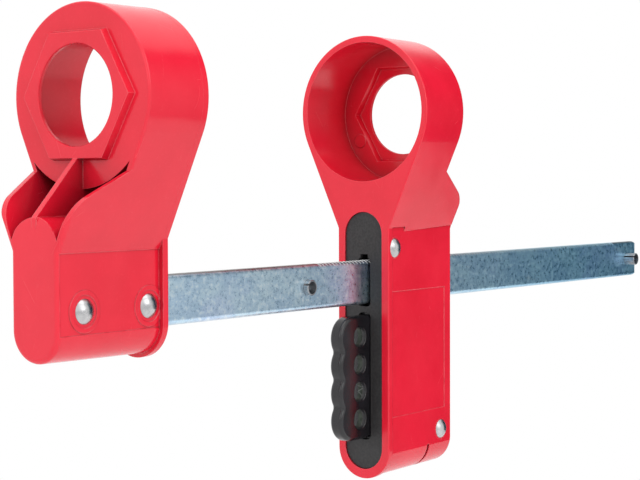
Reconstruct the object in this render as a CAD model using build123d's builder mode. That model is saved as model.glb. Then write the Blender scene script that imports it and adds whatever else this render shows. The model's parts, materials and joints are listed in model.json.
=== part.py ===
from build123d import *
import os
from math import acos, atan2, cos, hypot, radians, sin, tan

# Flange lockout clamp.  All sizes are in millimetres.
# The origin is on the stud's axis, at the floor of the fixed jaw's nut recess.
# +X runs along the stud and the bar towards the bar's free end, +Z is up.
# "Depth" is measured from a jaw's rim plane towards that jaw's closed back.

# Bar
BAR_HEIGHT = 25.4
BAR_THICKNESS = 6.35
BAR_EDGE_RADIUS = 2.8
BAR_END_RADIUS = 4.5
BAR_TIP_RADIUS = 1.8
BAR_Z = -98.0
BAR_TOP_Z = BAR_Z + BAR_HEIGHT / 2
BAR_START_X = -24.0
BAR_END_X = 583.0
TOOTH_PITCH = 3.2
TOOTH_DEPTH = 2.0
TOOTH_LAND = 0.8
TEETH_START_X = 182.0
TOOTH_COUNT = 114

# Cups, and the outline that both jaws share
CUP_RADIUS = 43.6
CUP_BORE_RADIUS = 40.0
CUP_DEPTH = 40.6
WALL = 2.2
BOSS_HEIGHT = 3.6
SEAT_DEPTH = CUP_DEPTH + BOSS_HEIGHT - WALL
STUD_HOLE_RADIUS = 23.7
HEX_BOSS_HALF = 30.0
HEX_RECESS_HALF = 28.0
HEX_DRAFT = 15.0
MOULD_MARK_RADIUS = 4.0
MOULD_MARK_AT = (28.5, -15.5)
JAW_DEPTH = 70.5
FLANGE_HALF = 17.6
FLANGE_THICKNESS = 4.0
DRAFT = 0.5
SHOULDER_Z = BAR_Z + 31.0
ARCH_Z = BAR_Z + 27.4
ARCH_TOP_Z = BAR_Z + 42.0
ARCH_FOOT = 30.0
WING_THICKNESS = 2.7
WING_TOP_Z = BAR_Z + 63.1
WING_CORNER_Z = BAR_Z + 46.8
WING_CORNER_RADIUS = 18.0
RIB_HALF = 1.5
CAVITY_HALF = 12.85
CAVITY_DEPTH = 66.5
SEAT_RISE = 0.15
RING_RISE = 0.5
MARK_RISE = 0.35
RIM_EDGE_RADIUS = 0.6
CUP_EDGE_RADIUS = 1.2
BACK_EDGE_RADIUS = 2.5
HOLE_EDGE_RADIUS = 0.6
BIG = 200.0

# Fixed jaw
FIXED_RIM_X = SEAT_DEPTH
FIXED_BODY_HALF = 15.6
FIXED_TOE_Z = BAR_Z - 9.0
FIXED_PANEL_RECESS = 0.6
FIXED_PANEL_MARGIN = 1.5
FIXED_PANEL_TOP_Z = BAR_Z + 26.2
FIXED_PANEL_BOTTOM_Z = BAR_Z - 11.0
FIXED_RIVET_DEPTHS = (11.3, 53.6)
FIXED_RIVET_Z = BAR_Z - 0.5
FIXED_RIVET_RADIUS = 4.0
FIXED_HEAD_RADIUS = 5.9
FIXED_HEAD_HEIGHT = 2.8
FIXED_SEAT_RADIUS = 7.6
FIXED_RING_RADIUS = 9.8
FIXED_BOSS_RADIUS = 7.5

# Sliding jaw
SLIDING_RIM_X = FIXED_RIM_X + 187.4
SLIDING_BODY_HALF = 16.8
SLIDING_TOE_Z = BAR_Z - 96.5
SLIDING_CAVITY_TOE_Z = BAR_Z - 95.7
SLIDING_PANEL_RECESS = 0.2
PANEL_FRONT_TOP_Z = BAR_Z + 31.8
PANEL_STEP_DEPTH = 17.6
PANEL_STEP_Z = BAR_Z + 29.2
PANEL_BACK_TOP_Z = BAR_Z + 31.8
LABEL_RECESS = 0.4
LABEL_MARGIN = 8.1
LABEL_TOP_Z = BAR_Z - 5.4
LABEL_BOTTOM_Z = BAR_Z - 78.0
PIVOT_DEPTH = 8.0
PIVOT_Z = BAR_Z + 19.8
LOWER_RIVET_DEPTH = 58.0
LOWER_RIVET_Z = BAR_Z - 90.8
SLIDING_RIVET_RADIUS = 2.5
SLIDING_HEAD_RADIUS = 5.6
SLIDING_HEAD_HEIGHT = 2.6
SLIDING_SEAT_RADIUS = 6.2
SLIDING_BOSS_RADIUS = 4.2
DRAIN_SLOT_DEPTH = 44.2
DRAIN_SLOT_WIDTH = 2.4
DRAIN_SLOT_DROP = 2.0
BAR_SLOT_HALF_Y = 4.3
BAR_SLOT_HALF_Z = 14.2
BAR_SLOT_CORNER = 2.5

# Inserts that close the jaws' rim sides
INSERT_HALF = 12.6
INSERT_SETBACK = 0.9
INSERT_THICKNESS = 2.7
INSERT_BACK = INSERT_SETBACK + INSERT_THICKNESS
INSERT_TOP_Z = BAR_Z + 27.6
CHEEK_INNER = 7.6
CHEEK_OUTER = 9.8
CHEEK_DEPTH = 48.0
CHEEK_FOOT_DEPTH = 64.0
CHEEK_BOTTOM_Z = BAR_Z - 97.0
CHEEK_STEP_Z = BAR_Z - 82.0
TOOTH_NOTCH_WIDTH = 5.2
TOOTH_NOTCH_HEIGHT = 1.8
RAIL_LENGTH = 5.4
RAIL_HEIGHT = 22.0
SPRING_WALL_DEPTH = 34.0
SPRING_WALL_THICKNESS = 3.0
FIXED_CHEEK_INNER = BAR_THICKNESS / 2 + 0.1
FIXED_CHEEK_OUTER = 5.8
FIXED_CHEEK_DEPTH = 62.0
FIXED_CHEEK_HEIGHT = 28.0
FIXED_RIB_HALF = 10.7
FIXED_RIB_DEPTHS = (20.5, 32.0, 43.5)
INSERT_RIB_THICKNESS = 2.0

# Trigger
TRIGGER_HALF = 4.0
TRIGGER_EDGE_RADIUS = 2.2
TRIGGER_LOBE_RADIUS = 12.0
TRIGGER_LOBE_DEPTH = -16.0
TRIGGER_NOTCH_RADIUS = 2.5
TRIGGER_PITCH = 15.7
TRIGGER_TOP_Z = BAR_Z - 19.0
TRIGGER_SIDE_GAP = 0.4
TRIGGER_END_GAP = 1.3
TRIGGER_SLOT_CORNER = 3.0
PADLOCK_HOLE_DEPTH = -9.0
PADLOCK_HOLE_RADIUS = 5.8
LOBE_ZS = [TRIGGER_TOP_Z - TRIGGER_LOBE_RADIUS - i * TRIGGER_PITCH for i in range(4)]
TRIGGER_BOTTOM_Z = LOBE_ZS[-1] - TRIGGER_LOBE_RADIUS
TRIGGER_MIDDLE_Z = (TRIGGER_TOP_Z + TRIGGER_BOTTOM_Z) / 2
STOP_FRONT = INSERT_BACK + 0.3
STOP_BACK = 8.0
STOP_HALF = 7.2
STOP_OVERLAP = 3.0
ARM_BLOCK_BACK = 21.0
ARM_BLOCK_HALF = 4.65
CORE_HALF = 1.5
CORE_FRONT = -20.0
CORE_MARGIN = 5.0

# Springs behind the trigger
SPRING_ZS = {"upper_trigger_spring": BAR_Z - 50.0, "lower_trigger_spring": BAR_Z - 80.0}
SPRING_COIL_RADIUS = 3.2
SPRING_WIRE_RADIUS = 0.5
SPRING_TURNS = 9
SPRING_POST_RADIUS = 2.2
SPRING_POST_LENGTH = 4.0

# Release gear
ARM_INNER = 4.7
ARM_OUTER = 6.7
ARM_FRONT = 14.0
ARM_WIDTH = 8.0
ARM_REACH = 37.0
ARM_FOOT_Z = BAR_Z - 36.0
ARM_HEAD_HEIGHT = 16.5
RAMP_ANGLE = 20.0
RAMP_TOP_DEPTH = 25.0
RAMP_GAP = 0.3
ARM_PIN_RADIUS = 1.5
ARM_PIN_PLACES = ((ARM_FRONT + 2.5, BAR_Z - 22.5), (ARM_FRONT + 4.5, BAR_Z - 31.5))
LIFT_PIN_DEPTH = 33.0
LIFT_PIN_Z = BAR_Z + 20.0
LIFT_PIN_RADIUS = 2.0
LIFT_PIN_HALF = 7.1
PAWL_HALF = 3.0
PAWL_EYE_RADIUS = 4.1
PAWL_CLEARANCE = 0.3
PAWL_SIDE_GAP = 0.3
PIVOT_CLEARANCE = 0.06
PAWL_TOOTH_DEPTH = 1.1
PAWL_NOSE_DEPTH = 17.5
PAWL_TEETH = 3
PAWL_TAIL = 3.0
PAWL_TOP_Z = BAR_Z + 23.5
PAWL_SPRING_DEPTH = 26.0
PAWL_SPRING_RADIUS = 2.4
PAWL_SPRING_WIRE = 0.35
PAWL_SPRING_TURNS = 5
BRIDGE_Z = BAR_Z + 32.0
BRIDGE_THICKNESS = 2.2
BRIDGE_LENGTH = 12.0
SPACER_RADIUS = 3.6
LOWER_SPACER_RADIUS = 4.5
GUIDE_FRONT = 53.0
GUIDE_BACK = 66.3
GUIDE_HALF_Y = 11.2
GUIDE_HEIGHT = 44.0
GUIDE_RISE = 2.0
GUIDE_GAP = 0.35

# Stop pins
STOP_PIN_RADIUS = 4.3
STOP_PIN_BORE = 3.4
STOP_PIN_CHAMFER = 0.4
STOP_PIN_SLIT = 1.0
STOP_PIN_SLIT_RISE = 1.8
STOP_PINS = {"inner_stop_pin": (172.0, 6.35), "end_stop_pin": (568.0, 11.0)}

FIT = 0.03
CLEARANCE = 0.1
os.makedirs("parts", exist_ok=True)


def jaw_plane(rim_x, back, depth=0.0):
    """A cross-section plane of a jaw: it faces the jaw's back, with Z up in the sketch."""
    return Plane(origin=(rim_x + back * depth, 0, 0), x_dir=(0, back, 0), z_dir=(back, 0, 0))


def side_plane(y=0.0):
    """A plane along the bar: sketch x is X and sketch y is Z.  It faces -Y."""
    return Plane(origin=(0, y, 0), x_dir=(1, 0, 0), z_dir=(0, -1, 0))


def flank_plane(rim_x, back, side, half_width):
    """The drafted side face of a jaw's body, facing outwards, with Z up in the sketch."""
    lean = radians(DRAFT)
    along = -side * back
    return Plane(
        origin=(rim_x, side * half_width, 0),
        x_dir=(along * back * cos(lean), -along * side * sin(lean), 0),
        z_dir=(back * sin(lean), side * cos(lean), 0),
    )


def rivet_seat(panel_half, depth):
    """How far from the middle a rivet's head seats on a flank's panel, at a depth."""
    return panel_half - depth * tan(radians(DRAFT)) + SEAT_RISE


def skirt_points(half_width):
    """The skirts leave the cup at a tangent, pass the flange's shoulders and end at a half width."""
    reach = hypot(FLANGE_HALF, SHOULDER_Z)
    angle = atan2(SHOULDER_Z, FLANGE_HALF) + acos(CUP_RADIUS / reach)
    touch_y, touch_z = CUP_RADIUS * cos(angle), CUP_RADIUS * sin(angle)
    slope = (touch_z - SHOULDER_Z) / (touch_y - FLANGE_HALF)
    end_z = SHOULDER_Z - (FLANGE_HALF - half_width) * slope
    return [(touch_y, touch_z), (half_width, end_z), (-half_width, end_z), (-touch_y, touch_z)]


def slot_sketch(half_width, top_z, bottom_z):
    """An upright stadium between two centres, drawn in the current sketch."""
    with Locations((0, (top_z + bottom_z) / 2)):
        Rectangle(2 * half_width, top_z - bottom_z)
    with Locations((0, top_z), (0, bottom_z)):
        Circle(half_width)


def outline_sketch(half_width, toe_z):
    """A jaw's whole outline: cup, skirts, straight body and round toe."""
    skirts = skirt_points(half_width)
    Circle(CUP_RADIUS)
    Polygon(*skirts, align=None)
    slot_sketch(half_width, skirts[1][1], toe_z)


def jaw_pocket(rim_x, back, half_width):
    """The hollow under a cup, between the wings and over the arched body."""
    with BuildPart() as pocket:
        with BuildSketch(jaw_plane(rim_x, back, FLANGE_THICKNESS)):
            Polygon(*skirt_points(half_width), align=None)
            offset(amount=-WING_THICKNESS)
        extrude(amount=JAW_DEPTH, taper=DRAFT)
        with BuildSketch(jaw_plane(rim_x, back)):
            Circle(CUP_RADIUS)
        extrude(amount=CUP_DEPTH, taper=DRAFT, mode=Mode.SUBTRACT)
        with BuildSketch(jaw_plane(rim_x, back)):
            slot_sketch(half_width, ARCH_Z, ARCH_Z - ARCH_FOOT)
        extrude(amount=JAW_DEPTH, taper=DRAFT, mode=Mode.SUBTRACT)
    return pocket.part


def jaw_blank(rim_x, back, half_width, toe_z, panels, seats):
    """The outside of a jaw: drafted body, flange, recessed panels and rivet seats.

    panels: a list of (corner points as (depth, z), recess) on both flanks.
    seats: a list of (depth, z, distance from the middle, seat radius, radius of its raised ring).
    """
    with BuildPart() as blank:
        with BuildSketch(jaw_plane(rim_x, back)):
            outline_sketch(half_width, toe_z)
        extrude(amount=JAW_DEPTH, taper=DRAFT)
        back_face = blank.faces().sort_by(Axis.X)[-1 if back > 0 else 0]
        fillet(back_face.edges(), BACK_EDGE_RADIUS)
        for corners, recess in panels:
            for side in (-1, 1):
                with BuildSketch(flank_plane(rim_x, back, side, half_width - recess)):
                    Polygon(*[(-side * back * d, z) for d, z in corners], align=None)
                extrude(amount=half_width, mode=Mode.SUBTRACT)
        for depth, z, seat, _, ring_radius in seats:
            with BuildSketch(side_plane()):
                with Locations((rim_x + back * depth, z)):
                    Circle(ring_radius)
            extrude(amount=seat - SEAT_RISE + RING_RISE, both=True)
        with BuildSketch(jaw_plane(rim_x, back)):
            outline_sketch(FLANGE_HALF, toe_z)
        extrude(amount=FLANGE_THICKNESS)
        for depth, z, seat, seat_radius, _ in seats:
            for side in (-1, 1):
                with BuildSketch(side_plane(side * seat)):
                    with Locations((rim_x + back * depth, z)):
                        Circle(seat_radius)
                extrude(amount=-side * FLANGE_HALF, mode=Mode.SUBTRACT)
        rim_face = blank.faces().sort_by(Axis.X)[0 if back > 0 else -1]
        fillet(rim_face.edges(), RIM_EDGE_RADIUS)
    return blank.part


def jaw_wings(rim_x, back):
    """What is cut away above the wings, behind the cup's back wall."""
    with BuildPart() as above:
        with BuildSketch(side_plane()):
            with BuildLine():
                FilletPolyline(
                    (rim_x + back * CUP_DEPTH, BIG),
                    (rim_x + back * CUP_DEPTH, WING_TOP_Z),
                    (rim_x + back * JAW_DEPTH, WING_CORNER_Z),
                    (rim_x + back * JAW_DEPTH, SHOULDER_Z),
                    (rim_x + back * (JAW_DEPTH + 20), SHOULDER_Z),
                    (rim_x + back * (JAW_DEPTH + 20), BIG),
                    radius=(0, 0, WING_CORNER_RADIUS, 0, 0, 0),
                    close=True,
                )
            make_face()
        extrude(amount=BIG, both=True)
    return above.part


def jaw_housing(rim_x, back, half_width, toe_z, cavity_toe_z, panels, seats, bosses):
    """A one-piece moulded jaw: cup, skirts, winged back, hollow body and flange.

    bosses: a list of (depth, z, radius, inner half width, hole radius) for the rivets.
    """
    with BuildPart() as housing:
        add(jaw_blank(rim_x, back, half_width, toe_z, panels, seats))
        add(jaw_wings(rim_x, back), mode=Mode.SUBTRACT)
        cup_x = rim_x + back * CUP_DEPTH
        cup_edge = housing.edges().filter_by(GeomType.CIRCLE)
        fillet(cup_edge.filter_by(lambda e: abs(e.center().X - cup_x) < FIT), CUP_EDGE_RADIUS)
        add(jaw_pocket(rim_x, back, half_width), mode=Mode.SUBTRACT)
        with BuildSketch(side_plane()):
            rib_top = -(CUP_BORE_RADIUS + CUP_RADIUS) / 2
            boss_foot_z = BOSS_HEIGHT * tan(radians(HEX_DRAFT)) - HEX_BOSS_HALF
            outline = [
                (FLANGE_THICKNESS / 2, ARCH_Z),
                (JAW_DEPTH, ARCH_Z),
                (JAW_DEPTH, ARCH_TOP_Z),
                (CUP_DEPTH + BOSS_HEIGHT, boss_foot_z),
                (CUP_DEPTH - WALL / 2, boss_foot_z),
                (CUP_DEPTH - WALL / 2, rib_top),
                (FLANGE_THICKNESS / 2, rib_top),
            ]
            Polygon(*[(rim_x + back * d, z) for d, z in outline], align=None)
        extrude(amount=RIB_HALF, both=True)

        # Cup: bore, hexagonal nut recess with its boss outside, and the stud's hole.
        with BuildSketch(jaw_plane(rim_x, back, CUP_DEPTH)):
            RegularPolygon(HEX_BOSS_HALF, 6, major_radius=False)
        extrude(amount=BOSS_HEIGHT, taper=HEX_DRAFT)
        with BuildSketch(jaw_plane(rim_x, back)):
            Circle(CUP_BORE_RADIUS)
        extrude(amount=CUP_DEPTH - WALL, taper=DRAFT / 2, mode=Mode.SUBTRACT)
        with BuildSketch(jaw_plane(rim_x, back, CUP_DEPTH - WALL)):
            RegularPolygon(HEX_RECESS_HALF, 6, major_radius=False)
        extrude(amount=BOSS_HEIGHT, taper=HEX_DRAFT, mode=Mode.SUBTRACT)
        with BuildSketch(jaw_plane(rim_x, back, CUP_DEPTH - WALL - MARK_RISE)):
            with Locations(MOULD_MARK_AT):
                Circle(MOULD_MARK_RADIUS)
        extrude(amount=WALL / 2)
        with BuildSketch(jaw_plane(rim_x, back)):
            Circle(STUD_HOLE_RADIUS)
        extrude(amount=JAW_DEPTH, mode=Mode.SUBTRACT)
        hole_edges = housing.edges().filter_by(GeomType.CIRCLE).filter_by(
            lambda e: abs(e.radius - STUD_HOLE_RADIUS) < FIT
        )
        fillet(hole_edges.sort_by(Axis.X)[-1 if back > 0 else 0], HOLE_EDGE_RADIUS)

        # Body: one deep cavity, open at the rim, with rivet bosses on its walls.
        with BuildSketch(jaw_plane(rim_x, back)):
            slot_sketch(CAVITY_HALF, INSERT_TOP_Z, cavity_toe_z)
        extrude(amount=CAVITY_DEPTH, taper=DRAFT, mode=Mode.SUBTRACT)
        for depth, z, radius, inner, hole in bosses:
            place = (rim_x + back * depth, z)
            for side in (-1, 1):
                with BuildSketch(side_plane(side * inner)):
                    with Locations(place):
                        Circle(radius)
                extrude(amount=-side * (CAVITY_HALF - inner))
            with BuildSketch(side_plane()):
                with Locations(place):
                    Circle(hole)
            extrude(amount=BIG, both=True, mode=Mode.SUBTRACT)
    return housing.part


def rivet(x, z, seat, shank_radius, head_radius, head_height):
    """A rivet across the jaw with a domed head on each flank."""
    dome = (head_radius**2 + head_height**2) / (2 * head_height)
    with BuildPart() as piece:
        with BuildSketch(Plane(origin=(x, 0, z), x_dir=(1, 0, 0), z_dir=(0, 0, 1))):
            with Locations((0, seat + head_height - dome), (0, dome - seat - head_height)):
                Circle(dome)
            with Locations((0, 0)):
                Rectangle(4 * dome, 2 * seat, mode=Mode.SUBTRACT)
            Rectangle(2 * shank_radius, 2 * seat + head_height)
            with Locations((2 * dome, 0)):
                Rectangle(4 * dome, 8 * dome, mode=Mode.SUBTRACT)
        revolve(axis=Axis((x, 0, z), (0, 1, 0)))
    return piece.part


def tube(x, z, outer, inner, start_y, end_y):
    """A plain tube or, with no inner radius, a pin across the jaw."""
    with BuildPart() as piece:
        with BuildSketch(side_plane(end_y)):
            with Locations((x, z)):
                Circle(outer)
                if inner:
                    Circle(inner, mode=Mode.SUBTRACT)
        extrude(amount=end_y - start_y)
    return piece.part


def coil_spring(start, direction, length, coil_radius, wire_radius, turns):
    """A compression spring between two seats; the wire stays inside the length."""
    start = Vector(*start) + Vector(*direction) * wire_radius
    height = length - 2 * wire_radius
    with BuildPart() as spring:
        with BuildLine() as wire:
            Helix(height / turns, height, coil_radius, center=start, direction=direction)
        with BuildSketch(Plane(origin=wire.line @ 0, z_dir=wire.line % 0)):
            Circle(wire_radius)
        sweep(path=wire.line, is_frenet=True)
    return spring


def save(piece, name):
    """Labels a finished piece and writes its STEP file."""
    piece.part.label = name
    export_step(piece.part, f"parts/{name}.step")


# Bar with saw teeth in its top edge; each tooth's steep face looks at the fixed jaw.
with BuildPart() as toothed_bar:
    with BuildSketch(side_plane()):
        with Locations(((BAR_START_X + BAR_END_X) / 2, BAR_Z)):
            RectangleRounded(BAR_END_X - BAR_START_X, BAR_HEIGHT, BAR_END_RADIUS)
        comb = [(TEETH_START_X, BAR_TOP_Z + TOOTH_DEPTH)]
        for i in range(TOOTH_COUNT):
            tooth_x = TEETH_START_X + i * TOOTH_PITCH
            comb.append((tooth_x, BAR_TOP_Z))
            comb.append((tooth_x + TOOTH_PITCH - TOOTH_LAND, BAR_TOP_Z - TOOTH_DEPTH))
            comb.append((tooth_x + TOOTH_PITCH - TOOTH_LAND, BAR_TOP_Z))
        comb.append((comb[-1][0], BAR_TOP_Z + TOOTH_DEPTH))
        Polygon(*comb, align=None, mode=Mode.SUBTRACT)
    extrude(amount=BAR_THICKNESS / 2, both=True)
    with BuildSketch(Plane.YZ.offset(BAR_START_X)):
        with Locations((0, BAR_Z)):
            RectangleRounded(BAR_THICKNESS, BAR_HEIGHT, BAR_EDGE_RADIUS)
    extrude(amount=BAR_END_X - BAR_START_X, mode=Mode.INTERSECT)
    with BuildSketch(Plane.XY.offset(BAR_Z)):
        with Locations(((BAR_START_X + BAR_END_X) / 2, 0)):
            RectangleRounded(BAR_END_X - BAR_START_X, BAR_THICKNESS, BAR_TIP_RADIUS)
    extrude(amount=BAR_HEIGHT, both=True, mode=Mode.INTERSECT)
    with BuildSketch(side_plane()):
        with Locations(*[(x, BAR_Z) for x, _ in STOP_PINS.values()]):
            Circle(STOP_PIN_RADIUS + FIT)
        with Locations(*[(FIXED_RIM_X - d, FIXED_RIVET_Z) for d in FIXED_RIVET_DEPTHS]):
            Circle(FIXED_RIVET_RADIUS + FIT)
    extrude(amount=BAR_THICKNESS, both=True, mode=Mode.SUBTRACT)
save(toothed_bar, "toothed_bar")

# Slotted spring pins that stop the sliding jaw at each end of its travel
for pin_name, (pin_x, pin_half) in STOP_PINS.items():
    with BuildPart() as stop_pin:
        add(tube(pin_x, BAR_Z, STOP_PIN_RADIUS, STOP_PIN_BORE, -pin_half, pin_half))
        pin_ends = stop_pin.edges().filter_by(GeomType.CIRCLE)
        chamfer(pin_ends.filter_by(lambda e: e.radius > STOP_PIN_BORE + FIT), STOP_PIN_CHAMFER)
        with BuildSketch(Plane.XY.offset(BAR_Z + STOP_PIN_SLIT_RISE)):
            with Locations((pin_x - STOP_PIN_RADIUS, 0)):
                Rectangle(2 * STOP_PIN_BORE, 3 * pin_half)
        extrude(amount=STOP_PIN_SLIT / 2, both=True, mode=Mode.SUBTRACT)
    save(stop_pin, pin_name)

# Fixed jaw: its cavity holds the bar's end, which two rivets cross
fixed_panel_end = JAW_DEPTH - FIXED_PANEL_MARGIN
fixed_panel = [
    (FLANGE_THICKNESS, FIXED_PANEL_BOTTOM_Z),
    (fixed_panel_end, FIXED_PANEL_BOTTOM_Z),
    (fixed_panel_end, FIXED_PANEL_TOP_Z),
    (FLANGE_THICKNESS, FIXED_PANEL_TOP_Z),
]
fixed_seat_ys = {d: rivet_seat(FIXED_BODY_HALF - FIXED_PANEL_RECESS, d) for d in FIXED_RIVET_DEPTHS}
fixed_seat_rings = (FIXED_SEAT_RADIUS, FIXED_RING_RADIUS)
fixed_boss = (FIXED_BOSS_RADIUS, FIXED_CHEEK_OUTER + CLEARANCE, FIXED_RIVET_RADIUS + FIT)
with BuildPart() as fixed_jaw_housing:
    add(
        jaw_housing(
            FIXED_RIM_X,
            -1,
            FIXED_BODY_HALF,
            FIXED_TOE_Z,
            FIXED_TOE_Z,
            panels=[(fixed_panel, FIXED_PANEL_RECESS)],
            seats=[(d, FIXED_RIVET_Z, y, *fixed_seat_rings) for d, y in fixed_seat_ys.items()],
            bosses=[(d, FIXED_RIVET_Z, *fixed_boss) for d in FIXED_RIVET_DEPTHS],
        )
    )
save(fixed_jaw_housing, "fixed_jaw_housing")

with BuildPart() as fixed_jaw_insert:
    with BuildSketch(jaw_plane(FIXED_RIM_X, -1, INSERT_SETBACK)):
        slot_sketch(INSERT_HALF, INSERT_TOP_Z, FIXED_TOE_Z)
        with Locations((0, BAR_Z)):
            Rectangle(2 * FIXED_CHEEK_INNER, BAR_HEIGHT + 2 * CLEARANCE, mode=Mode.SUBTRACT)
    extrude(amount=INSERT_THICKNESS)
    cheek_middle = (FIXED_CHEEK_INNER + FIXED_CHEEK_OUTER) / 2
    with BuildSketch(jaw_plane(FIXED_RIM_X, -1, INSERT_BACK)):
        with Locations((-cheek_middle, BAR_Z), (cheek_middle, BAR_Z)):
            Rectangle(FIXED_CHEEK_OUTER - FIXED_CHEEK_INNER, FIXED_CHEEK_HEIGHT)
    extrude(amount=FIXED_CHEEK_DEPTH - INSERT_BACK)
    rib_width = FIXED_RIB_HALF - FIXED_CHEEK_OUTER
    rib_middle = FIXED_CHEEK_OUTER + rib_width / 2
    for depth in FIXED_RIB_DEPTHS:
        with BuildSketch(jaw_plane(FIXED_RIM_X, -1, depth)):
            with Locations((-rib_middle, BAR_Z), (rib_middle, BAR_Z)):
                Rectangle(rib_width, FIXED_CHEEK_HEIGHT)
        extrude(amount=INSERT_RIB_THICKNESS)
    with BuildSketch(side_plane()):
        with Locations(*[(FIXED_RIM_X - d, FIXED_RIVET_Z) for d in FIXED_RIVET_DEPTHS]):
            Circle(FIXED_RIVET_RADIUS + FIT)
    extrude(amount=INSERT_HALF, both=True, mode=Mode.SUBTRACT)
save(fixed_jaw_insert, "fixed_jaw_insert")

with BuildPart() as fixed_jaw_rivets:
    fixed_head = (FIXED_RIVET_RADIUS, FIXED_HEAD_RADIUS, FIXED_HEAD_HEIGHT)
    for depth, seat_y in fixed_seat_ys.items():
        add(rivet(FIXED_RIM_X - depth, FIXED_RIVET_Z, seat_y, *fixed_head))
save(fixed_jaw_rivets, "fixed_jaw_rivets")

# Sliding jaw: the bar runs through it, and its cavity holds the trigger and the pawl
PIVOT_X = SLIDING_RIM_X + PIVOT_DEPTH
LOWER_RIVET_X = SLIDING_RIM_X + LOWER_RIVET_DEPTH
sliding_panel = [
    (FLANGE_THICKNESS, SLIDING_TOE_Z - SLIDING_BODY_HALF),
    (JAW_DEPTH + FIT, SLIDING_TOE_Z - SLIDING_BODY_HALF),
    (JAW_DEPTH + FIT, PANEL_BACK_TOP_Z),
    (PANEL_STEP_DEPTH, PANEL_STEP_Z),
    (PANEL_STEP_DEPTH, PANEL_FRONT_TOP_Z),
    (FLANGE_THICKNESS, PANEL_FRONT_TOP_Z),
]
label_panel = [
    (FLANGE_THICKNESS, LABEL_BOTTOM_Z),
    (JAW_DEPTH - LABEL_MARGIN, LABEL_BOTTOM_Z),
    (JAW_DEPTH - LABEL_MARGIN, LABEL_TOP_Z),
    (FLANGE_THICKNESS, LABEL_TOP_Z),
]
sliding_rivet_places = ((PIVOT_DEPTH, PIVOT_Z), (LOWER_RIVET_DEPTH, LOWER_RIVET_Z))
sliding_panel_half = SLIDING_BODY_HALF - SLIDING_PANEL_RECESS
pivot_seat_y = rivet_seat(sliding_panel_half, PIVOT_DEPTH)
lower_seat_y = rivet_seat(sliding_panel_half, LOWER_RIVET_DEPTH)
sliding_seat_rings = (SLIDING_SEAT_RADIUS, SLIDING_SEAT_RADIUS)
sliding_boss = (SLIDING_BOSS_RADIUS, CHEEK_OUTER + CLEARANCE, SLIDING_RIVET_RADIUS + FIT)
with BuildPart() as sliding_jaw_housing:
    add(
        jaw_housing(
            SLIDING_RIM_X,
            1,
            SLIDING_BODY_HALF,
            SLIDING_TOE_Z,
            SLIDING_CAVITY_TOE_Z,
            panels=[
                (sliding_panel, SLIDING_PANEL_RECESS),
                (label_panel, SLIDING_PANEL_RECESS + LABEL_RECESS),
            ],
            seats=[
                (PIVOT_DEPTH, PIVOT_Z, pivot_seat_y, *sliding_seat_rings),
                (LOWER_RIVET_DEPTH, LOWER_RIVET_Z, lower_seat_y, *sliding_seat_rings),
            ],
            bosses=[(d, z, *sliding_boss) for d, z in sliding_rivet_places],
        )
    )
    with BuildSketch(jaw_plane(SLIDING_RIM_X, 1, CAVITY_DEPTH - WALL / 2)):
        with Locations((0, BAR_Z)):
            RectangleRounded(2 * BAR_SLOT_HALF_Y, 2 * BAR_SLOT_HALF_Z, BAR_SLOT_CORNER)
    extrude(amount=JAW_DEPTH, mode=Mode.SUBTRACT)
    with BuildSketch(jaw_plane(SLIDING_RIM_X, 1, DRAIN_SLOT_DEPTH - DRAIN_SLOT_WIDTH / 2)):
        with Locations((0, SLIDING_TOE_Z - DRAIN_SLOT_DROP - FLANGE_HALF)):
            Rectangle(4 * FLANGE_HALF, 2 * FLANGE_HALF)
    extrude(amount=DRAIN_SLOT_WIDTH, mode=Mode.SUBTRACT)
save(sliding_jaw_housing, "sliding_jaw_housing")

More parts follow.
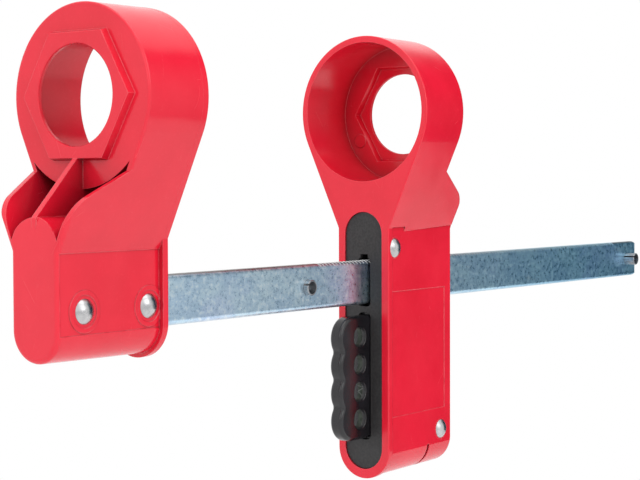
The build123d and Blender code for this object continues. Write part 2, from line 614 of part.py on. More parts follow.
with BuildPart() as sliding_jaw_insert:
    with BuildSketch(jaw_plane(SLIDING_RIM_X, 1, INSERT_SETBACK)):
        slot_sketch(INSERT_HALF, INSERT_TOP_Z, SLIDING_CAVITY_TOE_Z)
        with Locations((0, BAR_Z)):
            RectangleRounded(
                2 * BAR_SLOT_HALF_Y, 2 * BAR_SLOT_HALF_Z, BAR_SLOT_CORNER, mode=Mode.SUBTRACT
            )
        with Locations((0, BAR_Z + BAR_SLOT_HALF_Z)):
            Rectangle(TOOTH_NOTCH_WIDTH, 2 * TOOTH_NOTCH_HEIGHT, mode=Mode.SUBTRACT)
        trigger_height = TRIGGER_TOP_Z - TRIGGER_BOTTOM_Z
        with Locations((0, TRIGGER_MIDDLE_Z)):
            RectangleRounded(
                2 * (TRIGGER_HALF + TRIGGER_SIDE_GAP),
                trigger_height + 2 * TRIGGER_END_GAP,
                TRIGGER_SLOT_CORNER,
                mode=Mode.SUBTRACT,
            )
    extrude(amount=INSERT_THICKNESS)
    # Two cheeks carry the rivets, the trigger and the pawl.
    cheek = [
        (INSERT_BACK, CHEEK_BOTTOM_Z),
        (CHEEK_FOOT_DEPTH, CHEEK_BOTTOM_Z),
        (CHEEK_FOOT_DEPTH, CHEEK_STEP_Z),
        (CHEEK_DEPTH, CHEEK_STEP_Z + CHEEK_FOOT_DEPTH - CHEEK_DEPTH),
        (CHEEK_DEPTH, BRIDGE_Z + BRIDGE_THICKNESS),
        (INSERT_BACK, BRIDGE_Z + BRIDGE_THICKNESS),
    ]
    for side in (-1, 1):
        with BuildSketch(side_plane(side * CHEEK_INNER)):
            Polygon(*[(SLIDING_RIM_X + d, z) for d, z in cheek], align=None)
        extrude(amount=-side * (CHEEK_OUTER - CHEEK_INNER))
    # A cross wall backs the trigger's springs, and posts centre them.
    spring_wall_height = TRIGGER_TOP_Z - CHEEK_BOTTOM_Z
    with BuildSketch(jaw_plane(SLIDING_RIM_X, 1, SPRING_WALL_DEPTH)):
        with Locations((0, CHEEK_BOTTOM_Z + spring_wall_height / 2)):
            Rectangle(2 * CHEEK_INNER, spring_wall_height)
    extrude(amount=SPRING_WALL_THICKNESS)
    with BuildSketch(jaw_plane(SLIDING_RIM_X, 1, SPRING_WALL_DEPTH)):
        with Locations(*[(0, z) for z in SPRING_ZS.values()]):
            Circle(SPRING_POST_RADIUS)
    extrude(amount=-SPRING_POST_LENGTH)
    # A bridge over the pawl backs the pawl's spring, and rails guide the bar.
    with BuildSketch(Plane.XY.offset(BRIDGE_Z)):
        with Locations((SLIDING_RIM_X + PAWL_SPRING_DEPTH, 0)):
            Rectangle(BRIDGE_LENGTH, 2 * CHEEK_INNER)
    extrude(amount=BRIDGE_THICKNESS)
    rail_inner = BAR_THICKNESS / 2 + GUIDE_GAP
    rail_middle = (rail_inner + CHEEK_INNER) / 2
    with BuildSketch(jaw_plane(SLIDING_RIM_X, 1, INSERT_BACK)):
        with Locations((-rail_middle, BAR_Z), (rail_middle, BAR_Z)):
            Rectangle(CHEEK_INNER - rail_inner, RAIL_HEIGHT)
    extrude(amount=RAIL_LENGTH)
    with BuildSketch(side_plane()):
        with Locations(*[(SLIDING_RIM_X + d, z) for d, z in sliding_rivet_places]):
            Circle(SLIDING_RIVET_RADIUS + FIT)
    extrude(amount=INSERT_HALF, both=True, mode=Mode.SUBTRACT)
save(sliding_jaw_insert, "sliding_jaw_insert")

sliding_head = (SLIDING_RIVET_RADIUS, SLIDING_HEAD_RADIUS, SLIDING_HEAD_HEIGHT)
with BuildPart() as pawl_pivot_rivet:
    add(rivet(PIVOT_X, PIVOT_Z, pivot_seat_y, *sliding_head))
save(pawl_pivot_rivet, "pawl_pivot_rivet")

with BuildPart() as lower_jaw_rivet:
    add(rivet(LOWER_RIVET_X, LOWER_RIVET_Z, lower_seat_y, *sliding_head))
save(lower_jaw_rivet, "lower_jaw_rivet")

spacer_bore = SLIDING_RIVET_RADIUS + FIT
with BuildPart() as pivot_spacers:
    for side in (-1, 1):
        spacer_ends = sorted((side * (PAWL_HALF + PAWL_SIDE_GAP), side * (CHEEK_INNER - CLEARANCE)))
        add(tube(PIVOT_X, PIVOT_Z, SPACER_RADIUS, spacer_bore, *spacer_ends))
save(pivot_spacers, "pivot_spacers")

with BuildPart() as lower_rivet_spacer:
    spacer_half = CHEEK_INNER - CLEARANCE
    add(
        tube(
            LOWER_RIVET_X, LOWER_RIVET_Z, LOWER_SPACER_RADIUS, spacer_bore, -spacer_half, spacer_half
        )
    )
save(lower_rivet_spacer, "lower_rivet_spacer")

with BuildPart() as rear_bar_guide:
    with BuildSketch(jaw_plane(SLIDING_RIM_X, 1, GUIDE_FRONT)):
        with Locations((0, BAR_Z + GUIDE_RISE)):
            RectangleRounded(2 * GUIDE_HALF_Y, GUIDE_HEIGHT, BAR_SLOT_CORNER)
        with Locations((0, BAR_Z)):
            Rectangle(2 * rail_inner, BAR_HEIGHT + 2 * GUIDE_GAP, mode=Mode.SUBTRACT)
    extrude(amount=GUIDE_BACK - GUIDE_FRONT)
save(rear_bar_guide, "rear_bar_guide")

# Trigger: lobed front with padlock holes, a stop plate and a block for the release arms
with BuildPart() as trigger:
    with BuildSketch(side_plane()):
        grip_middle = SLIDING_RIM_X + (TRIGGER_LOBE_DEPTH + STOP_BACK) / 2
        with Locations((grip_middle, TRIGGER_MIDDLE_Z)):
            Rectangle(STOP_BACK - TRIGGER_LOBE_DEPTH, trigger_height)
        with Locations(*[(SLIDING_RIM_X + TRIGGER_LOBE_DEPTH, z) for z in LOBE_ZS]):
            Circle(TRIGGER_LOBE_RADIUS)
    extrude(amount=TRIGGER_HALF, both=True)
    front_edges = trigger.edges().filter_by(Axis.Y).sort_by(Axis.X)
    fillet(front_edges[: len(LOBE_ZS) - 1], TRIGGER_NOTCH_RADIUS)
    side_faces = trigger.faces().filter_by(GeomType.PLANE).filter_by(Axis.Y)
    stop_x = SLIDING_RIM_X + STOP_BACK
    outline = side_faces.edges().filter_by(lambda e: e.center().X < stop_x - FIT)
    fillet(outline, TRIGGER_EDGE_RADIUS)
    with BuildSketch(jaw_plane(SLIDING_RIM_X, 1, STOP_FRONT)):
        with Locations((0, TRIGGER_MIDDLE_Z)):
            Rectangle(2 * STOP_HALF, trigger_height + 2 * STOP_OVERLAP)
    extrude(amount=STOP_BACK - STOP_FRONT)
    arm_block_height = TRIGGER_TOP_Z - ARM_FOOT_Z
    with BuildSketch(jaw_plane(SLIDING_RIM_X, 1, STOP_BACK)):
        with Locations((0, TRIGGER_TOP_Z - arm_block_height / 2)):
            Rectangle(2 * ARM_BLOCK_HALF, arm_block_height)
    extrude(amount=ARM_BLOCK_BACK - STOP_BACK)
    with BuildSketch(side_plane()):
        core_middle = SLIDING_RIM_X + (CORE_FRONT + STOP_BACK) / 2
        with Locations((core_middle, TRIGGER_MIDDLE_Z)):
            core_length = STOP_BACK - CORE_FRONT
            Rectangle(core_length, trigger_height - 2 * CORE_MARGIN)
    extrude(amount=CORE_HALF + CLEARANCE / 2, both=True, mode=Mode.SUBTRACT)
    with BuildSketch(side_plane()):
        with Locations(*[(SLIDING_RIM_X + PADLOCK_HOLE_DEPTH, z) for z in LOBE_ZS]):
            Circle(PADLOCK_HOLE_RADIUS)
    extrude(amount=TRIGGER_HALF, both=True, mode=Mode.SUBTRACT)
    rims = trigger.edges().filter_by(GeomType.CIRCLE)
    rims = rims.filter_by(lambda e: abs(abs(e.center().Y) - TRIGGER_HALF) < FIT)
    fillet(rims.filter_by(lambda e: abs(e.radius - PADLOCK_HOLE_RADIUS) < FIT), HOLE_EDGE_RADIUS)
    with BuildSketch(side_plane()):
        with Locations(*[(SLIDING_RIM_X + d, z) for d, z in ARM_PIN_PLACES]):
            Circle(ARM_PIN_RADIUS + FIT)
    extrude(amount=STOP_HALF, both=True, mode=Mode.SUBTRACT)
save(trigger, "trigger")

with BuildPart() as trigger_core:
    with BuildSketch(side_plane()):
        with Locations((core_middle - CLEARANCE / 2, TRIGGER_MIDDLE_Z)):
            Rectangle(core_length - 2 * CLEARANCE, trigger_height - 2 * CORE_MARGIN - 2 * CLEARANCE)
        with Locations(*[(SLIDING_RIM_X + PADLOCK_HOLE_DEPTH, z) for z in LOBE_ZS]):
            Circle(PADLOCK_HOLE_RADIUS, mode=Mode.SUBTRACT)
    extrude(amount=CORE_HALF, both=True)
save(trigger_core, "trigger_core")

# Release arms: two plates on the trigger whose ramps lift the pawl's cross pin
ramp_drop = (ARM_REACH - RAMP_TOP_DEPTH) * tan(radians(RAMP_ANGLE))
ramp_to_pin = (LIFT_PIN_RADIUS + RAMP_GAP) / cos(radians(RAMP_ANGLE))
pin_to_top = (LIFT_PIN_DEPTH - RAMP_TOP_DEPTH) * tan(radians(RAMP_ANGLE))
ARM_TOP_Z = LIFT_PIN_Z - ramp_to_pin + pin_to_top
arm_outline = [
    (ARM_FRONT, ARM_FOOT_Z),
    (ARM_FRONT + ARM_WIDTH, ARM_FOOT_Z),
    (ARM_FRONT + ARM_WIDTH, ARM_TOP_Z - ARM_HEAD_HEIGHT),
    (ARM_REACH, ARM_TOP_Z - ARM_HEAD_HEIGHT),
    (ARM_REACH, ARM_TOP_Z - ramp_drop),
    (RAMP_TOP_DEPTH, ARM_TOP_Z),
    (ARM_FRONT, ARM_TOP_Z),
]
with BuildPart() as release_arms:
    for side in (-1, 1):
        with BuildSketch(side_plane(side * ARM_INNER)):
            Polygon(*[(SLIDING_RIM_X + d, z) for d, z in arm_outline], align=None)
            with Locations(*[(SLIDING_RIM_X + d, z) for d, z in ARM_PIN_PLACES]):
                Circle(ARM_PIN_RADIUS + FIT, mode=Mode.SUBTRACT)
        extrude(amount=-side * (ARM_OUTER - ARM_INNER))
save(release_arms, "release_arms")

with BuildPart() as release_arm_pins:
    for depth, z in ARM_PIN_PLACES:
        pin_half = ARM_OUTER + CLEARANCE
        add(tube(SLIDING_RIM_X + depth, z, ARM_PIN_RADIUS, 0, -pin_half, pin_half))
save(release_arm_pins, "release_arm_pins")

# Pawl: an eye on the upper rivet, a toothed nose over the bar and a cross pin behind
pawl_tip_z = BAR_TOP_Z + PAWL_CLEARANCE
pawl_body_z = pawl_tip_z + PAWL_TOOTH_DEPTH
pawl_outline = [(PIVOT_DEPTH, PAWL_TOP_Z), (PIVOT_DEPTH, PIVOT_Z - PAWL_EYE_RADIUS)]
for i in range(PAWL_TEETH):
    tooth_depth = PAWL_NOSE_DEPTH + i * TOOTH_PITCH
    pawl_outline.append((tooth_depth, pawl_body_z))
    pawl_outline.append((tooth_depth + TOOTH_LAND, pawl_tip_z))
    pawl_outline.append((tooth_depth + TOOTH_PITCH, pawl_body_z))
pawl_outline.append((LIFT_PIN_DEPTH + PAWL_TAIL, pawl_body_z))
pawl_outline.append((LIFT_PIN_DEPTH + PAWL_TAIL, PAWL_TOP_Z))
with BuildPart() as pawl:
    with BuildSketch(side_plane()):
        Polygon(*[(SLIDING_RIM_X + d, z) for d, z in pawl_outline], align=None)
        with Locations((PIVOT_X, PIVOT_Z)):
            Circle(PAWL_EYE_RADIUS)
            Circle(SLIDING_RIVET_RADIUS + PIVOT_CLEARANCE, mode=Mode.SUBTRACT)
        with Locations((SLIDING_RIM_X + LIFT_PIN_DEPTH, LIFT_PIN_Z)):
            Circle(LIFT_PIN_RADIUS + FIT, mode=Mode.SUBTRACT)
    extrude(amount=PAWL_HALF, both=True)
save(pawl, "pawl")

with BuildPart() as pawl_lift_pin:
    lift_pin_x = SLIDING_RIM_X + LIFT_PIN_DEPTH
    add(tube(lift_pin_x, LIFT_PIN_Z, LIFT_PIN_RADIUS, 0, -LIFT_PIN_HALF, LIFT_PIN_HALF))
save(pawl_lift_pin, "pawl_lift_pin")

# Springs
spring_length = SPRING_WALL_DEPTH - STOP_BACK - 2 * CLEARANCE
for spring_name, spring_z in SPRING_ZS.items():
    seat = (SLIDING_RIM_X + STOP_BACK + CLEARANCE, 0, spring_z)
    wire = (SPRING_COIL_RADIUS, SPRING_WIRE_RADIUS, SPRING_TURNS)
    save(coil_spring(seat, (1, 0, 0), spring_length, *wire), spring_name)
pawl_seat = (SLIDING_RIM_X + PAWL_SPRING_DEPTH, 0, PAWL_TOP_Z + CLEARANCE)
pawl_spring_length = BRIDGE_Z - PAWL_TOP_Z - 2 * CLEARANCE
pawl_wire = (PAWL_SPRING_RADIUS, PAWL_SPRING_WIRE, PAWL_SPRING_TURNS)
save(coil_spring(pawl_seat, (0, 0, 1), pawl_spring_length, *pawl_wire), "pawl_spring")
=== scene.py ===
import json
from math import cos, radians, sin

import bpy
from mathutils import Matrix, Vector


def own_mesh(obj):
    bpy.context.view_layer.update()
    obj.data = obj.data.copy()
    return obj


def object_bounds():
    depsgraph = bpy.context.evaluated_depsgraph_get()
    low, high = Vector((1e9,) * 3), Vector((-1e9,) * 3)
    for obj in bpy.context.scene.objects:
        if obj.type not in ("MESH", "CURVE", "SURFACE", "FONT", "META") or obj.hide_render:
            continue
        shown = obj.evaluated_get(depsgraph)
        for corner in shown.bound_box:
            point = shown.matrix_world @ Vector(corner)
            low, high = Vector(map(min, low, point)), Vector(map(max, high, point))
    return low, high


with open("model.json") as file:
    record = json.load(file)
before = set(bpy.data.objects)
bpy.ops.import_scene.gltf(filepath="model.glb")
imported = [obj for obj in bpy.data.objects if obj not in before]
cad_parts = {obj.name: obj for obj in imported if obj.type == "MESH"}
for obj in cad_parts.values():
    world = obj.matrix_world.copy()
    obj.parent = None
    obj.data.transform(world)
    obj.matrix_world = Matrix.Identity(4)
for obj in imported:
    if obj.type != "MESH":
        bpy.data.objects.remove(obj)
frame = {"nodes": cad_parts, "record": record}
cad_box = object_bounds()

# Lengths are in metres, unless a name says otherwise.
MM = 0.001

# The camera: where it stands round the object, its tilt, roll, place and lens.
CAMERA_AZIMUTH = radians(-53.58)
CAMERA_ELEVATION = radians(2.044)
CAMERA_ROLL = radians(-0.185)
CAMERA_PLACE = (-0.5310, -0.5301, -0.0406)
CAMERA_LENS_MM = 90.42
CAMERA_CLIP_END = 100.0
SENSOR_MM = 36.0

# The floor: how far below the object it lies, its side, roughness, mottling scale and greys.
FLOOR_DROP = 0.30
FLOOR_SIZE = 2.1
FLOOR_ROUGHNESS = 0.9
FLOOR_MOTTLING = 3.0
FLOOR_GREYS = ((0.86, 0.86, 0.86), (0.89, 0.89, 0.89))

# The room: its own light, what the camera sees behind the object, and a dim wall on one side
# that the bar and the flanks reflect. The wall sets in between two cosines from the way it
# lies, and ends between two heights.
ROOM_LIGHT = (1.05, 1.05, 1.05)
BACKDROP = (1.0, 1.0, 1.0)
WALL_LIGHT = (0.0, 0.04, 0.065)
WALL_SIDE = (0.966, -0.259, 0.0)
WALL_SPREAD = (0.80, 0.985)
WALL_HEIGHT = (0.64, 0.54)

# The square lights: name, place, the point each looks at, side, watts.
SOFTBOXES = (
    ("overhead", (0.1, -0.3, 1.2), (0.25, 0.0, -0.1), 1.2, 6.0),
    ("fill_front", (0.0, -1.5, 0.6), (0.25, 0.0, -0.1), 1.0, 4.2),
    ("key_left", (-1.3, -0.5, 0.6), (0.2, 0.0, -0.05), 0.9, 2.5),
)

# Samples of the nodes that look around a point.
BEVEL_SAMPLES = 6
CREVICE_SAMPLES = 8

# The Mix node's sockets when it mixes colours.
MIX_FACTOR, MIX_FIRST, MIX_SECOND, MIX_RESULT = 0, 6, 7, 2

PLASTIC_IOR = 1.5

# The colours of each finish, in linear light.
RED = {
    "deep": (0.68, 0.0075, 0.026),
    "light": (0.75, 0.0105, 0.033),
    "flow": (0.79, 0.016, 0.042),
    "fleck": (0.78, 0.028, 0.055),
    # Painted shade in deep pockets and recesses.
    "recess": (0.10, 0.004, 0.007),
    # Painted shade in small corners, in patches.
    "patchy_corner_shade": (0.20, 0.008, 0.014),
    # Edge wear with a painted highlight.
    "rubbed_and_highlit": (0.93, 0.12, 0.15),
    "scuffed": (0.90, 0.20, 0.22),
}
CHARCOAL = {
    "deep": (0.015, 0.014, 0.015),
    "light": (0.028, 0.026, 0.027),
    "dust": (0.09, 0.085, 0.08),
    "rubbed_and_highlit": (0.10, 0.10, 0.105),
}
BLACK = {
    "deep": (0.005, 0.0045, 0.006),
    "light": (0.011, 0.010, 0.013),
    "worn": (0.07, 0.07, 0.075),
}
ZINC = {
    "deep": (0.54, 0.72, 0.88),
    "light": (0.68, 0.86, 0.96),
    "violet": (0.60, 0.68, 0.96),
    "green": (0.56, 0.84, 0.86),
    "dark_spangle": (0.34, 0.50, 0.66),
    "bright_spangle": (0.86, 0.96, 1.0),
    "streak": (0.30, 0.42, 0.52),
    # Painted shade on faces that look up.
    "top_edge_shade": (0.17, 0.15, 0.14),
    # Greyer painted shade on faces that look down.
    "under_edge_shade": (0.52, 0.54, 0.54),
    # Painted highlight on the teeth's flanks that face -X.
    "flank_highlight": (0.97, 0.97, 0.96),
    # Painted shade: darker and bluer towards the bar's far end.
    "far_end_shade": (0.62, 0.88, 1.0),
    "pit": (0.14, 0.16, 0.20),
    "rub_mark": (0.74, 0.82, 0.86),
    "worn": (0.62, 0.64, 0.62),
}
STEEL_STAIN = (0.16, 0.13, 0.11)
STEEL_MARK = (0.88, 0.88, 0.88)
# The bare steels: two tones, and the lowest and highest roughness.
STEELS = {
    "rivet_steel": ((0.58, 0.58, 0.58), (0.42, 0.42, 0.43), (0.22, 0.32)),
    "pin_steel": ((0.34, 0.36, 0.38), (0.22, 0.23, 0.25), (0.34, 0.5)),
    "core_steel": ((0.070, 0.080, 0.068), (0.030, 0.034, 0.030), (0.28, 0.42)),
    "plate_steel": ((0.50, 0.50, 0.50), (0.36, 0.36, 0.37), (0.32, 0.48)),
    "spring_steel": ((0.52, 0.52, 0.50), (0.38, 0.38, 0.38), (0.25, 0.4)),
}


class Graph:
    """Adds nodes to a node tree. Most methods return the new node's output."""

    def __init__(self, tree):
        self.tree = tree

    def add(self, kind, settings=(), operands=(), **inputs):
        """A node with its settings, its first inputs in order and its named inputs."""
        node = self.tree.nodes.new(kind)
        for name, value in dict(settings).items():
            setattr(node, name, value)
        for socket, value in (*enumerate(operands), *inputs.items()):
            self.feed(node, socket, value)
        return node

    def feed(self, node, socket, value):
        """Links an output to the input, or sets the input's own value."""
        entry = node.inputs[socket]
        if isinstance(value, bpy.types.NodeSocket):
            self.tree.links.new(value, entry)
        else:
            entry.default_value = value

    def math(self, operation, *operands):
        return self.add("ShaderNodeMath", {"operation": operation}, operands).outputs["Value"]

    def times(self, first, second):
        return self.math("MULTIPLY", first, second)

    def inverse(self, value):
        return self.math("SUBTRACT", 1.0, value)

    def vector(self, operation, *operands):
        node = self.add("ShaderNodeVectorMath", {"operation": operation}, operands)
        return node.outputs["Value" if operation == "DOT_PRODUCT" else "Vector"]

    def parts(self, vector):
        """The outputs X, Y and Z of a vector."""
        return self.add("ShaderNodeSeparateXYZ", Vector=vector).outputs

    def remap(self, value, low, high, to=(0.0, 1.0)):
        """A smooth step from one number to another as the value goes from low to high."""
        node = self.add(
            "ShaderNodeMapRange",
            {"interpolation_type": "SMOOTHSTEP"},
            Value=value,
            **{"From Min": low, "From Max": high, "To Min": to[0], "To Max": to[1]},
        )
        return node.outputs["Result"]

    def mix(self, factor, first, second, blend="MIX"):
        """Two colours, each a tuple or another node's output."""
        node = self.add("ShaderNodeMix", {"data_type": "RGBA", "blend_type": blend})
        self.feed(node, MIX_FACTOR, factor)
        for socket, colour in ((MIX_FIRST, first), (MIX_SECOND, second)):
            self.feed(node, socket, (*colour, 1.0) if isinstance(colour, tuple) else colour)
        return node.outputs[MIX_RESULT]


class Shader(Graph):
    """One procedural material, whose colour is painted in layers."""

    def __init__(self, name):
        self.material = bpy.data.materials.new(name)
        self.material.use_nodes = True
        super().__init__(self.material.node_tree)
        self.surface = self.tree.nodes["Principled BSDF"]
        self.coords = self.add("ShaderNodeTexCoord").outputs
        self.colour = None

    def base(self, mask, first, second):
        """The lowest layer: the first colour where the mask is 0, the second where it is 1."""
        self.colour = self.mix(mask, first, second)

    def paint(self, mask, colour, strength=None, blend="MIX"):
        """Lays a colour over the layers so far, where the mask isn't 0."""
        factor = mask if strength is None else self.times(mask, strength)
        self.colour = self.mix(factor, self.colour, colour, blend)

    def finish(self, **inputs):
        """Sets the surface's own sockets and returns the material."""
        self.feed(self.surface, "Base Color", self.colour)
        for name, value in inputs.items():
            self.feed(self.surface, name.replace("_", " "), value)
        return self.material

    def stretched(self, scale):
        """Object coordinates in metres, multiplied along each axis."""
        node = self.add("ShaderNodeMapping", Vector=self.coords["Object"], Scale=scale)
        return node.outputs["Vector"]

    def noise(self, scale, detail=2.0, roughness=0.5, stretch=(1, 1, 1)):
        """Cloudy noise from 0 to 1. The scale is per metre."""
        node = self.add(
            "ShaderNodeTexNoise",
            Vector=self.stretched(stretch),
            Scale=scale,
            Detail=detail,
            Roughness=roughness,
        )
        return node.outputs["Fac"]

    def cells(self, scale, feature="F1", stretch=(1, 1, 1)):
        """The distance to the middle or the edge of random cells."""
        node = self.add(
            "ShaderNodeTexVoronoi",
            {"feature": feature},
            Vector=self.stretched(stretch),
            Scale=scale,
        )
        return node.outputs["Distance"]

    def scratches(self, scale, stretch, width):
        """Thin, long, broken lines."""
        lines = self.cells(scale, "DISTANCE_TO_EDGE", stretch)
        broken = self.remap(self.noise(60.0), 0.52, 0.66)
        thin = self.remap(lines, 0.0, width, to=(1.0, 0.0))
        return self.times(thin, broken)

    def rounded(self, radius):
        """The normal, with sharp edges rounded by the radius."""
        node = self.add("ShaderNodeBevel", {"samples": BEVEL_SAMPLES}, Radius=radius)
        return node.outputs["Normal"]

    def rubbed_and_highlit(self, rounded_normal, bend, scale, patches):
        """A mask along sharp edges, in patches, for wear and for a painted edge highlight. The
        bend says where it starts and is full.
        """
        true_normal = self.add("ShaderNodeNewGeometry").outputs["Normal"]
        flatness = self.vector("DOT_PRODUCT", rounded_normal, true_normal)
        edges = self.remap(self.inverse(flatness), *bend)
        return self.times(edges, self.remap(self.noise(scale, detail=3.0), *patches))

    def crevices(self, distance, low, high, most):
        """The most in corners and recesses, down to 0 in the open."""
        node = self.add(
            "ShaderNodeAmbientOcclusion", {"samples": CREVICE_SAMPLES}, Distance=distance
        )
        return self.remap(node.outputs["AO"], low, high, to=(most, 0.0))

    def bump(self, height, distance, normal):
        """The normal, tilted by a relief as deep as the distance."""
        node = self.add(
            "ShaderNodeBump", Height=height, Distance=distance, Strength=1.0, Normal=normal
        )
        return node.outputs["Normal"]


def red_moulding():
    """Glass-filled nylon: red with flow mottling, painted shade in corners and recesses, rubbed
    edges with a painted highlight and a fine moulded grain.
    """
    s = Shader("red_moulding")
    rounded = s.rounded(0.6 * MM)
    mottle = s.noise(28.0, detail=4.0, roughness=0.6)
    s.base(s.remap(mottle, 0.3, 0.7), RED["deep"], RED["light"])
    flow = s.noise(9.0, detail=3.0, stretch=(1.0, 1.0, 0.35))
    s.paint(s.remap(flow, 0.45, 0.75, to=(0.0, 0.3)), RED["flow"])
    flecks = s.noise(620.0, roughness=0.6)
    s.paint(s.remap(flecks, 0.56, 0.74, to=(0.0, 0.25)), RED["fleck"])
    # Painted shade: dark red deep in pockets and recesses.
    s.paint(s.crevices(30 * MM, 0.0, 0.78, most=0.90), RED["recess"])
    # Painted shade: darker red in small corners and creases, in patches.
    patchy_corner_shade = s.crevices(2 * MM, 0.35, 0.80, most=0.22)
    s.paint(s.times(patchy_corner_shade, s.noise(90.0, detail=4.0)), RED["patchy_corner_shade"])
    # Lighter pinkish red along sharp edges, in patches: partly edge wear, partly a painted
    # highlight.
    s.paint(s.rubbed_and_highlit(rounded, (0.015, 0.12), 120.0, (0.30, 0.58)), RED["rubbed_and_highlit"], 0.65)
    scuffs = s.scratches(75.0, (1.0, 1.0, 0.35), 0.006)
    s.paint(scuffs, RED["scuffed"], 0.03)
    rough = s.remap(s.noise(40.0, detail=5.0, roughness=0.65), 0.25, 0.75, to=(0.13, 0.22))
    rough = s.math("ADD", rough, s.times(scuffs, 0.15))
    sink = s.bump(s.noise(45.0, detail=1.0), 0.25 * MM, rounded)
    grain = s.bump(s.noise(1500.0, detail=3.0, roughness=0.6), 0.014 * MM, sink)
    worn = s.bump(s.inverse(scuffs), 0.01 * MM, grain)
    return s.finish(Roughness=rough, Normal=worn, IOR=PLASTIC_IOR)


def charcoal_moulding():
    """Matt dark plate with a spark-eroded texture and dust in its corners."""
    s = Shader("charcoal_moulding")
    rounded = s.rounded(0.4 * MM)
    speckle = s.noise(700.0, detail=3.0, roughness=0.7)
    s.base(s.remap(speckle, 0.35, 0.65), CHARCOAL["deep"], CHARCOAL["light"])
    dust = s.crevices(4 * MM, 0.3, 0.9, most=0.35)
    s.paint(s.times(dust, s.noise(150.0, detail=3.0)), CHARCOAL["dust"])
    s.paint(s.rubbed_and_highlit(rounded, (0.03, 0.2), 160.0, (0.4, 0.6)), CHARCOAL["rubbed_and_highlit"], 0.4)
    rough = s.remap(s.noise(50.0, detail=4.0), 0.3, 0.7, to=(0.50, 0.64))
    texture = s.bump(s.noise(900.0, detail=4.0, roughness=0.7), 0.05 * MM, rounded)
    return s.finish(Roughness=rough, Normal=texture, IOR=PLASTIC_IOR)


def black_moulding():
    """Satin black grip with scuffs, rubbed edges and a fine grain."""
    s = Shader("black_moulding")
    rounded = s.rounded(0.5 * MM)
    s.base(s.remap(s.noise(60.0, detail=4.0), 0.3, 0.7), BLACK["deep"], BLACK["light"])
    rubbed_and_highlit = s.rubbed_and_highlit(rounded, (0.02, 0.15), 200.0, (0.4, 0.6))
    scuffs = s.scratches(90.0, (1.0, 0.4, 1.0), 0.012)
    s.paint(s.math("ADD", s.times(rubbed_and_highlit, 0.5), s.times(scuffs, 0.25)), BLACK["worn"])
    rough = s.remap(s.noise(35.0, detail=3.0), 0.35, 0.65, to=(0.16, 0.26))
    sink = s.bump(s.noise(70.0, detail=1.0), 0.15 * MM, rounded)
    grain = s.bump(s.noise(1300.0, detail=3.0, roughness=0.65), 0.022 * MM, sink)
    return s.finish(Roughness=rough, Normal=grain, IOR=PLASTIC_IOR, Coat_Weight=0.15)


def zinc_bar():
    """Zinc-plated mill bar: bluish passivate with spangle, drawn streaks, pits and rub marks,
    with painted shade on its edges and far end and painted highlights on the teeth's flanks.
    """
    s = Shader("zinc_bar")
    rounded = s.rounded(0.3 * MM)
    clouds = s.noise(60.0, detail=5.0, roughness=0.65, stretch=(0.6, 1.0, 1.0))
    s.base(s.remap(clouds, 0.35, 0.65), ZINC["deep"], ZINC["light"])
    s.paint(s.remap(s.noise(17.0, detail=3.0), 0.50, 0.68, to=(0.0, 0.5)), ZINC["violet"])
    green = s.noise(23.0, detail=3.0, stretch=(0.6, 1.0, 1.0))
    s.paint(s.remap(green, 0.54, 0.72, to=(0.0, 0.45)), ZINC["green"])
    spangle = s.noise(300.0, detail=3.0, roughness=0.8)
    s.paint(s.remap(spangle, 0.38, 0.50, to=(0.45, 0.0)), ZINC["dark_spangle"])
    s.paint(s.remap(spangle, 0.52, 0.64, to=(0.0, 0.65)), ZINC["bright_spangle"])
    streaks = s.noise(260.0, detail=4.0, roughness=0.65, stretch=(0.15, 1.0, 1.0))
    s.paint(s.remap(streaks, 0.35, 0.62, to=(0.08, 0.0)), ZINC["streak"])

    # Painted light on the narrow edges and the teeth: dark brown-grey painted shade on faces
    # that look up, greyer painted shade on faces that look down, and a near-white painted
    # highlight on the teeth's flanks that face -X.
    facing = s.parts(s.coords["Normal"])
    s.paint(s.remap(facing["Z"], 0.45, 0.90, to=(0.0, 0.95)), ZINC["top_edge_shade"])
    s.paint(s.remap(facing["Z"], -0.95, -0.45, to=(0.5, 0.0)), ZINC["under_edge_shade"])
    s.paint(s.remap(facing["X"], -0.9, -0.6, to=(1.0, 0.0)), ZINC["flank_highlight"])

    # Painted shade: the bar darkens and turns bluer along +X towards its far end.
    along = s.parts(s.coords["Object"])["X"]
    s.paint(s.remap(along, 0.16, 0.52), ZINC["far_end_shade"], blend="MULTIPLY")
    pits = s.remap(s.cells(420.0), 0.05, 0.16, to=(1.0, 0.0))
    pits = s.times(pits, s.remap(s.noise(70.0, detail=3.0), 0.52, 0.66))
    s.paint(pits, ZINC["pit"], 0.22)
    s.paint(s.scratches(120.0, (0.06, 1.0, 1.0), 0.03), ZINC["rub_mark"], 0.35)
    s.paint(s.rubbed_and_highlit(rounded, (0.03, 0.2), 180.0, (0.35, 0.6)), ZINC["worn"], 0.5)
    rough = s.remap(spangle, 0.3, 0.7, to=(0.26, 0.38))
    rough = s.math("ADD", rough, s.times(pits, 0.25))
    drawn = s.bump(streaks, 0.006 * MM, rounded)
    waves = s.noise(150.0, detail=3.0, roughness=0.6, stretch=(0.7, 1.0, 1.0))
    ripple = s.bump(waves, 0.05 * MM, drawn)
    pitted = s.bump(s.inverse(pits), 0.05 * MM, ripple)
    return s.finish(Roughness=rough, Normal=pitted, Metallic=1.0)


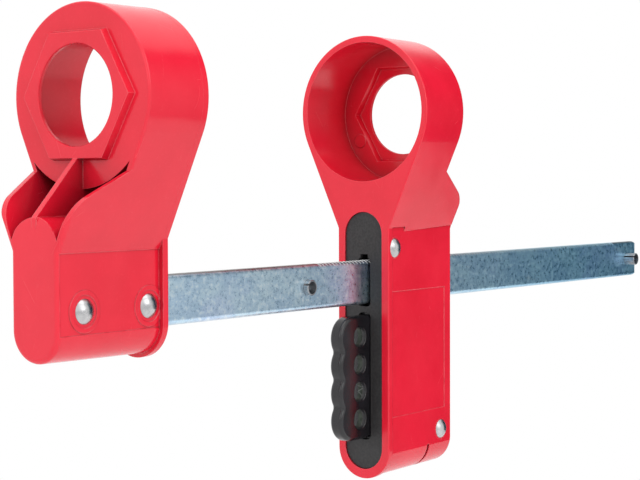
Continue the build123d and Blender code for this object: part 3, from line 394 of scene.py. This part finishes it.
def handled_steel(name, first, second, roughness):
    """Bare steel with handling marks, stained in its corners."""
    s = Shader(name)
    rounded = s.rounded(0.25 * MM)
    s.base(s.remap(s.noise(240.0, detail=4.0, roughness=0.6), 0.3, 0.7), first, second)
    stain = s.crevices(1.5 * MM, 0.3, 0.9, most=0.8)
    s.paint(s.times(stain, s.noise(300.0, detail=3.0)), STEEL_STAIN)
    s.paint(s.scratches(260.0, (1.0, 0.5, 0.7), 0.02), STEEL_MARK, 0.4)
    rough = s.remap(s.noise(180.0, detail=3.0), 0.3, 0.7, to=roughness)
    dents = s.bump(s.noise(330.0), 0.05 * MM, rounded)
    fine = s.bump(s.noise(2200.0, detail=3.0), 0.006 * MM, dents)
    return s.finish(Roughness=rough, Normal=fine, Metallic=1.0)


# Every material, by the name of its slot in the record.
MATERIALS = {
    "red_moulding": red_moulding(),
    "charcoal_moulding": charcoal_moulding(),
    "black_moulding": black_moulding(),
    "zinc_bar": zinc_bar(),
    **{name: handled_steel(name, *look) for name, look in STEELS.items()},
}


def dress_cad():
    """Gives every CAD node the finish of its material slot."""
    slots = {part["node"]: part["material_slot"] for part in frame["record"]["subparts"]}
    for node, piece in frame["nodes"].items():
        piece.data.materials.clear()
        piece.data.materials.append(MATERIALS[slots[node]])


def compress_springs():
    """Gives each spring that a joint deforms its own copy of its mesh."""
    for joint in frame["record"]["behaviour"]["joints"]:
        for spring in joint.get("deforming_nodes", []):
            piece = frame["nodes"][spring["node"]]
            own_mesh(piece)


def pale_floor():
    """A plain pale floor below the hanging clamp."""
    low, high = cad_box
    middle = (Vector(low) + Vector(high)) / 2
    place = (middle.x, middle.y, low[2] - FLOOR_DROP)
    bpy.ops.mesh.primitive_plane_add(size=FLOOR_SIZE, location=place)
    floor = bpy.context.object
    floor.name = "floor"
    s = Shader("pale_floor")
    s.base(s.noise(FLOOR_MOTTLING, detail=3.0), *FLOOR_GREYS)
    floor.data.materials.append(s.finish(Roughness=FLOOR_ROUGHNESS))


def soft_world():
    """A white room with one dim, bluish wall on the side towards +X and -Y."""
    world = bpy.data.worlds.new("studio")
    bpy.context.scene.world = world
    world.use_nodes = True
    w = Graph(world.node_tree)
    direction = w.add("ShaderNodeTexCoord").outputs["Generated"]
    level = w.vector("NORMALIZE", w.vector("MULTIPLY", direction, (1.0, 1.0, 0.0)))
    across = w.remap(w.vector("DOT_PRODUCT", level, WALL_SIDE), *WALL_SPREAD)
    height = w.math("ABSOLUTE", w.parts(direction)["Z"])
    wall = w.times(across, w.remap(height, *WALL_HEIGHT))
    room = w.mix(wall, ROOM_LIGHT, WALL_LIGHT)
    camera_ray = w.add("ShaderNodeLightPath").outputs["Is Camera Ray"]
    w.feed(world.node_tree.nodes["Background"], "Color", w.mix(camera_ray, room, BACKDROP))


def softbox(name, place, target, size, watts):
    """A square area light that looks at a point."""
    light = bpy.data.lights.new(name, "AREA")
    light.size = size
    light.energy = watts
    lamp = bpy.data.objects.new(name, light)
    lamp.location = place
    aim = Vector(target) - Vector(place)
    lamp.rotation_euler = aim.to_track_quat("-Z", "Y").to_euler()
    bpy.context.scene.collection.objects.link(lamp)


def studio_camera():
    """The camera, from its azimuth, elevation and roll."""
    a, e, r = CAMERA_AZIMUTH, CAMERA_ELEVATION, CAMERA_ROLL
    back = Vector((sin(a) * cos(e), -cos(a) * cos(e), sin(e)))
    level = Vector((cos(a), sin(a), 0.0))
    upright = back.cross(level)
    right = cos(r) * level + sin(r) * upright
    up = cos(r) * upright - sin(r) * level
    data = bpy.data.cameras.new("camera")
    data.lens = CAMERA_LENS_MM
    data.sensor_width = SENSOR_MM
    data.clip_end = CAMERA_CLIP_END
    camera = bpy.data.objects.new("camera", data)
    turn = Matrix((right, up, back)).transposed().to_4x4()
    camera.matrix_world = Matrix.Translation(CAMERA_PLACE) @ turn
    bpy.context.scene.collection.objects.link(camera)
    bpy.context.scene.camera = camera


dress_cad()
compress_springs()
pale_floor()
soft_world()
for box in SOFTBOXES:
    softbox(*box)
studio_camera()
bpy.context.scene.view_settings.view_transform = "Standard"
